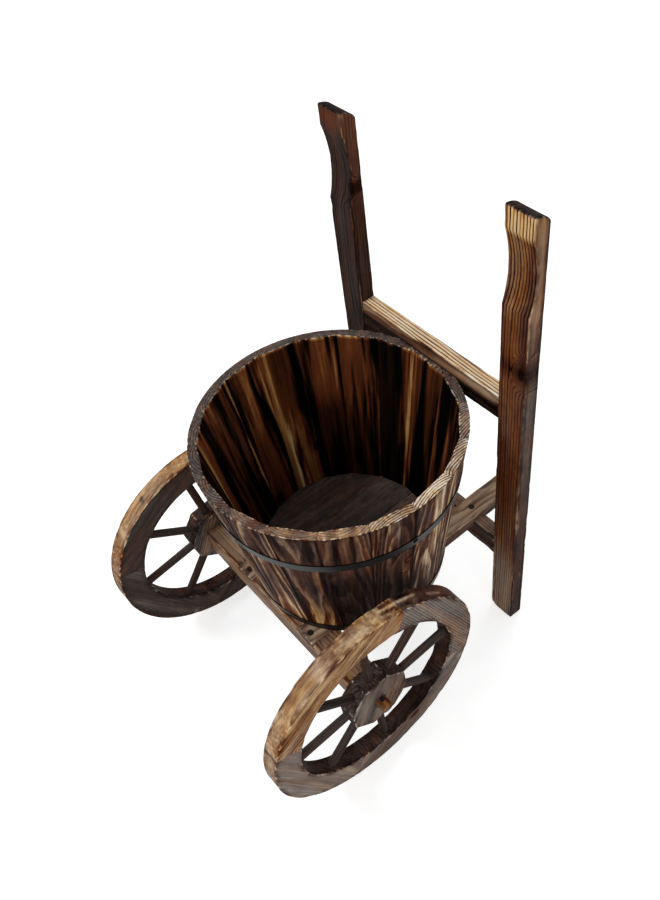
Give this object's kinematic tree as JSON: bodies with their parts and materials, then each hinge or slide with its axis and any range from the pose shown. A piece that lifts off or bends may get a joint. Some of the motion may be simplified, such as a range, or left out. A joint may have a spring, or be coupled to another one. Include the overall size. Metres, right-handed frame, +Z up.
{
  "type": "cart planter",
  "caption": "Burnt-wood cart planter: a coopered barrel on a barrow frame with spoked wheels that turn and upright posts that serve as legs and handles.",
  "frame": {"origin": "on the floor, under the middle of the whole cart's box", "axes": "+Z up, +X to the cart's right, +Y from the axle towards the uprights"},
  "size_m": [0.389, 0.49, 0.67],
  "materials": {
    "stave_wood": "burnt, satin",
    "floor_wood": "burnt, matte",
    "frame_wood": "burnt, satin",
    "axle_wood": "burnt, satin",
    "wheel_wood": "burnt, satin",
    "spoke_wood": "burnt, matte",
    "hoop_steel": "black, satin",
    "fastener_steel": "dull"
  },
  "bodies": {
    "frame": {"stave_01": "stave_wood", "stave_02": "stave_wood", "stave_03": "stave_wood", "stave_04": "stave_wood", "stave_05": "stave_wood", "stave_06": "stave_wood", "stave_07": "stave_wood", "stave_08": "stave_wood", "stave_09": "stave_wood", "stave_10": "stave_wood", "stave_11": "stave_wood", "stave_12": "stave_wood", "stave_13": "stave_wood", "stave_14": "stave_wood", "stave_15": "stave_wood", "stave_16": "stave_wood", "stave_17": "stave_wood", "stave_18": "stave_wood", "left_floor_board": "floor_wood", "right_floor_board": "floor_wood", "upper_hoop": "hoop_steel", "lower_hoop": "hoop_steel", "hoop_rivets": "hoop_steel", "left_side_rail": "frame_wood", "right_side_rail": "frame_wood", "upper_cross_rail": "frame_wood", "lower_cross_rail": "frame_wood", "left_upright": "frame_wood", "right_upright": "frame_wood", "axle_beam": "axle_wood", "frame_screws": "fastener_steel", "barrel_screws": "fastener_steel", "linchpins": "fastener_steel"},
    "left_wheel": {"left_hub": "wheel_wood", "left_spoke_1": "spoke_wood", "left_spoke_2": "spoke_wood", "left_spoke_3": "spoke_wood", "left_spoke_4": "spoke_wood", "left_spoke_5": "spoke_wood", "left_spoke_6": "spoke_wood", "left_spoke_7": "spoke_wood", "left_spoke_8": "spoke_wood", "left_felloe_1": "wheel_wood", "left_felloe_2": "wheel_wood", "left_felloe_3": "wheel_wood", "left_felloe_4": "wheel_wood"},
    "right_wheel": {"right_hub": "wheel_wood", "right_spoke_1": "spoke_wood", "right_spoke_2": "spoke_wood", "right_spoke_3": "spoke_wood", "right_spoke_4": "spoke_wood", "right_spoke_5": "spoke_wood", "right_spoke_6": "spoke_wood", "right_spoke_7": "spoke_wood", "right_spoke_8": "spoke_wood", "right_felloe_1": "wheel_wood", "right_felloe_2": "wheel_wood", "right_felloe_3": "wheel_wood", "right_felloe_4": "wheel_wood"}
  },
  "joints": [
    {"name": "left_wheel_spin", "type": "hinge", "parent": "frame", "child": "left_wheel", "pos_m": [-0.16776, -0.095, 0.15], "axis": [1, 0, 0], "continuous": true},
    {"name": "right_wheel_spin", "type": "hinge", "parent": "frame", "child": "right_wheel", "pos_m": [0.16776, -0.095, 0.15], "axis": [1, 0, 0], "continuous": true}
  ]
}
